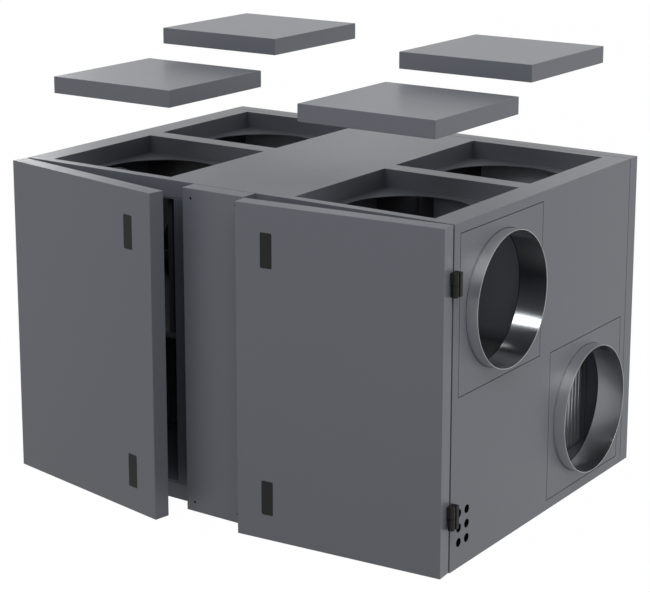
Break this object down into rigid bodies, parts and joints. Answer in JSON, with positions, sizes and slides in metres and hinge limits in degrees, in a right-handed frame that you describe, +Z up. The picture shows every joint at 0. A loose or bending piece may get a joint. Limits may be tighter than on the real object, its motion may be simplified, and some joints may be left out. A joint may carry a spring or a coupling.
{
  "type": "air handling unit",
  "caption": "Floor-standing insulated air handling cabinet with hinged front doors, round duct collars on the sides and square top ports with lift-off covers, around a rotary heat exchanger.",
  "frame": {"origin": "on the floor, under the centre of the cabinet with its doors shut", "axes": "+X across the front to the right, +Y from the front to the rear, +Z up"},
  "size_m": [1.454, 1.1522, 1.2075],
  "materials": {
    "body_paint": "satin anthracite powder coat",
    "collar_steel": "galvanised, smooth",
    "black_plastic": "matt moulded",
    "inner_sheet": "satin sheet",
    "filter_media": "folded filter medium",
    "filter_frame": "satin sheet",
    "wheel_foil": "corrugated foil",
    "fan_plastic": "matt moulded"
  },
  "bodies": {
    "cabinet": {"base_panel": "body_paint", "centre_front_panel": "body_paint", "centre_mullion": "inner_sheet", "front_left_port_pan": "body_paint", "front_right_port_pan": "body_paint", "left_cabinet_hinges": "black_plastic", "left_casing_box": "inner_sheet", "left_fan": "fan_plastic", "left_fan_bracket": "inner_sheet", "left_filter_frame": "filter_frame", "left_filter_pleats": "filter_media", "left_inner_wall": "inner_sheet", "left_lower_collar_plate": "body_paint", "left_lower_duct_collar": "collar_steel", "left_shelf_divider": "inner_sheet", "left_side_panel": "body_paint", "left_upper_collar_plate": "body_paint", "left_upper_duct_collar": "collar_steel", "rear_left_port_pan": "body_paint", "rear_panel": "body_paint", "rear_right_port_pan": "body_paint", "right_cabinet_hinges": "black_plastic", "right_casing_box": "inner_sheet", "right_fan": "fan_plastic", "right_fan_bracket": "inner_sheet", "right_filter_frame": "filter_frame", "right_filter_pleats": "filter_media", "right_inner_wall": "inner_sheet", "right_lower_collar_plate": "body_paint", "right_lower_duct_collar": "collar_steel", "right_shelf_divider": "inner_sheet", "right_side_panel": "body_paint", "right_upper_collar_plate": "body_paint", "right_upper_duct_collar": "collar_steel", "rotor_cassette": "inner_sheet", "rotor_wheel": "wheel_foil", "top_panel": "body_paint"},
    "left_door": {"left_door_hinges": "black_plastic", "left_door_latches": "black_plastic", "left_door_panel": "body_paint"},
    "right_door": {"right_door_hinges": "black_plastic", "right_door_latches": "black_plastic", "right_door_panel": "body_paint"},
    "front_left_cover_body": {"front_left_cover": "body_paint"},
    "front_right_cover_body": {"front_right_cover": "body_paint"},
    "rear_left_cover_body": {"rear_left_cover": "body_paint"},
    "rear_right_cover_body": {"rear_right_cover": "body_paint"}
  },
  "joints": [
    {"name": "left_door_hinge", "type": "hinge", "parent": "cabinet", "child": "left_door", "pos_m": [-0.7038, -0.4823, 0], "axis": [0, 0, -1], "range_deg": [-10.4, 99.6]},
    {"name": "right_door_hinge", "type": "hinge", "parent": "cabinet", "child": "right_door", "pos_m": [0.7038, -0.4823, 0], "axis": [0, 0, 1], "range_deg": [-5, 105]},
    {"name": "front_left_cover_lift", "type": "slide", "parent": "cabinet", "child": "front_left_cover_body", "axis": [0, 0, 1], "range_m": [-0.2295, 0]},
    {"name": "front_right_cover_lift", "type": "slide", "parent": "cabinet", "child": "front_right_cover_body", "axis": [0, 0, 1], "range_m": [-0.2375, 0]},
    {"name": "rear_left_cover_lift", "type": "slide", "parent": "cabinet", "child": "rear_left_cover_body", "axis": [0, 0, 1], "range_m": [-0.311, 0]},
    {"name": "rear_right_cover_lift", "type": "slide", "parent": "cabinet", "child": "rear_right_cover_body", "axis": [0, 0, 1], "range_m": [-0.311, 0]}
  ]
}
